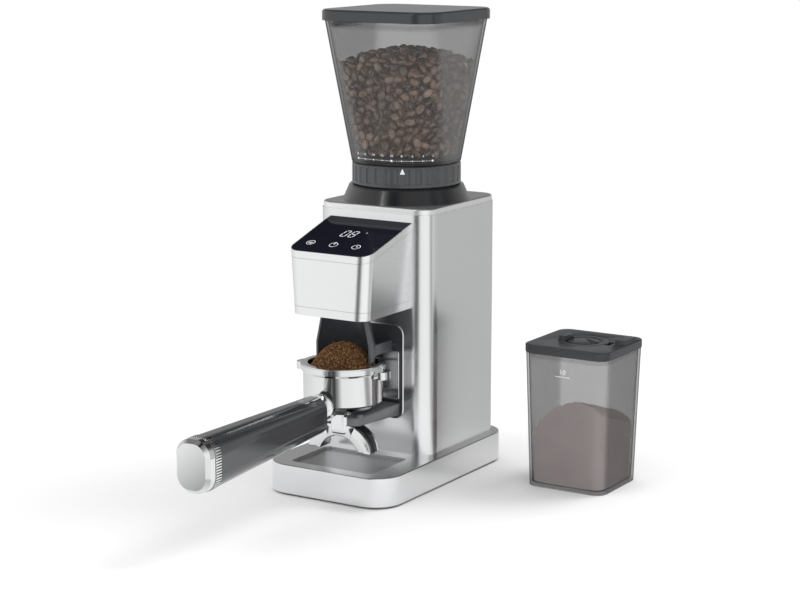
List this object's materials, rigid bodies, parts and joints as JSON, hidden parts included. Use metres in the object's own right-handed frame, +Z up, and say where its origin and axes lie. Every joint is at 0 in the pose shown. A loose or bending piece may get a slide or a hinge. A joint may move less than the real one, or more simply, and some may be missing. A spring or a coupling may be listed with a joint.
{
  "type": "burr coffee grinder",
  "caption": "Upright electric coffee grinder with a tapering bean hopper, a slanted touch panel, a portafilter docked in a fork under the chute and a lidded grounds container.",
  "frame": {"origin": "on the floor under the middle of the tower", "axes": "+X to the grinder's right seen from its front, +Y to the back, +Z up; the head and the portafilter handle point to -Y"},
  "size_m": [0.2618, 0.3939, 0.4084],
  "materials": {
    "steel_body": "brushed stainless sheet",
    "steel_tray": "brushed stainless tray",
    "bay_steel": "polished steel plate",
    "base_plastic": "matt moulded underside",
    "foot_rubber": "soft rubber",
    "screw_steel": "zinc-plated screws",
    "frame_plastic": "matt structural moulding",
    "circuit_board": "green circuit board",
    "black_plastic": "satin black moulding",
    "fork_plastic": "satin dark grey moulding",
    "guard_plastic": "dark smoked moulding",
    "panel_glass": "black back-printed touch glass",
    "cast_aluminium": "die-cast housing",
    "bronze": "sintered bronze",
    "burr_steel": "hardened steel",
    "gear_nylon": "natural nylon",
    "motor_steel": "plated motor can",
    "motor_core": "laminated core with windings",
    "gloss_black": "gloss black moulding",
    "ring_plastic": "satin charcoal moulding",
    "smoked_hopper": "smoked clear moulding",
    "roasted_beans": "roasted coffee beans",
    "chrome": "polished chrome plate",
    "basket_steel": "pressed stainless basket",
    "handle_black": "gloss black grip",
    "coffee_grounds": "ground coffee",
    "smoked_can": "smoked clear moulding",
    "can_lid_black": "gloss black moulding"
  },
  "bodies": {
    "housing": {"base_skirt": "steel_body", "base_plate": "base_plastic", "rubber_feet": "foot_rubber", "base_screws": "screw_steel", "cable_gland": "foot_rubber", "tower_shell": "steel_body", "top_cover": "steel_body", "inner_frame": "frame_plastic", "power_board": "circuit_board", "bay_frame": "black_plastic", "bay_plate": "bay_steel", "head_bottom_cover": "steel_body", "head_shell": "steel_body", "head_top_frame": "steel_body", "control_glass": "panel_glass", "control_board": "circuit_board", "display_module": "black_plastic", "outlet_duct": "black_plastic", "chute_guard": "guard_plastic", "burr_housing": "cast_aluminium", "shaft_bushes": "bronze", "hopper_collar": "gloss_black", "motor_can": "motor_steel", "motor_end_bell": "frame_plastic", "gearbox_case": "frame_plastic", "gearbox_lid": "frame_plastic", "gearbox_screws": "screw_steel", "idler_pin": "burr_steel"},
    "motor_rotor": {"motor_shaft": "burr_steel", "motor_armature": "motor_core", "motor_pinion": "bronze"},
    "idler": {"idler_gear": "gear_nylon"},
    "burr_drive": {"burr_shaft": "burr_steel", "impeller": "black_plastic", "inner_burr": "burr_steel", "burr_nut": "burr_steel", "drive_gear": "gear_nylon"},
    "setting_ring": {"grind_ring": "ring_plastic"},
    "carrier": {"burr_carrier": "black_plastic", "outer_burr": "burr_steel"},
    "hopper": {"hopper_body": "smoked_hopper", "hopper_neck": "black_plastic", "finger_guard": "black_plastic", "coffee_beans": "roasted_beans"},
    "hopper_cover": {"hopper_lid": "gloss_black", "lid_seal": "foot_rubber"},
    "fork": {"portafilter_fork": "fork_plastic"},
    "portafilter": {"portafilter_cup": "chrome", "filter_basket": "basket_steel", "ground_coffee": "coffee_grounds", "spout_block": "chrome", "handle_grip": "handle_black", "handle_knurl": "chrome", "handle_cap": "chrome"},
    "tray": {"crumb_tray": "steel_tray"},
    "container": {"grounds_container": "smoked_can", "container_grounds": "coffee_grounds"},
    "container_cover": {"container_lid": "can_lid_black"},
    "pour_flap": {"container_flap": "can_lid_black"}
  },
  "joints": [
    {"name": "motor_spin", "type": "hinge", "parent": "housing", "child": "motor_rotor", "pos_m": [-0.0101, 0.01883, 0.12], "axis": [0, 0, 1], "continuous": true},
    {"name": "idler_spin", "type": "hinge", "parent": "housing", "child": "idler", "pos_m": [0.0155, 0.02335, 0.16], "axis": [0, 0, 1], "continuous": true},
    {"name": "burr_spin", "type": "hinge", "parent": "housing", "child": "burr_drive", "pos_m": [0, -0.0035, 0.19], "axis": [0, 0, 1], "continuous": true},
    {"name": "grind_setting", "type": "hinge", "parent": "housing", "child": "setting_ring", "pos_m": [0, -0.0035, 0.266], "axis": [0, 0, 1], "range_deg": [-98, 32]},
    {"name": "burr_gap", "type": "slide", "parent": "housing", "child": "carrier", "axis": [0, 0, 1], "range_m": [-0.0004, 0.001]},
    {"name": "hopper_lift", "type": "slide", "parent": "carrier", "child": "hopper", "axis": [0, 0, 1], "range_m": [0, 0.12]},
    {"name": "lid_lift", "type": "slide", "parent": "hopper", "child": "hopper_cover", "axis": [0, 0, 1], "range_m": [0, 0.06]},
    {"name": "fork_slide", "type": "slide", "parent": "housing", "child": "fork", "axis": [0, -1, 0], "range_m": [0, 0.09]},
    {"name": "portafilter_slide", "type": "slide", "parent": "fork", "child": "portafilter", "axis": [0, -1, 0], "range_m": [0, 0.12]},
    {"name": "tray_lift", "type": "slide", "parent": "housing", "child": "tray", "axis": [0, 0, 1], "range_m": [0, 0.01]},
    {"name": "container_lift", "type": "slide", "parent": "housing", "child": "container", "axis": [0, 0, 1], "range_m": [0, 0.1]},
    {"name": "container_lid_lift", "type": "slide", "parent": "container", "child": "container_cover", "axis": [0, 0, 1], "range_m": [0, 0.05]},
    {"name": "pour_flap_hinge", "type": "hinge", "parent": "container_cover", "child": "pour_flap", "pos_m": [0.1359, 0.0324, 0.1261], "axis": [0, -1, 0], "range_deg": [0, 95]}
  ],
  "couplings": [
    {"joint": "idler_spin", "follows": "motor_spin", "ratio": -0.3},
    {"joint": "burr_spin", "follows": "motor_spin", "ratio": 0.0875},
    {"joint": "burr_gap", "follows": "grind_setting", "m_per_rad": -0.00047746}
  ]
}
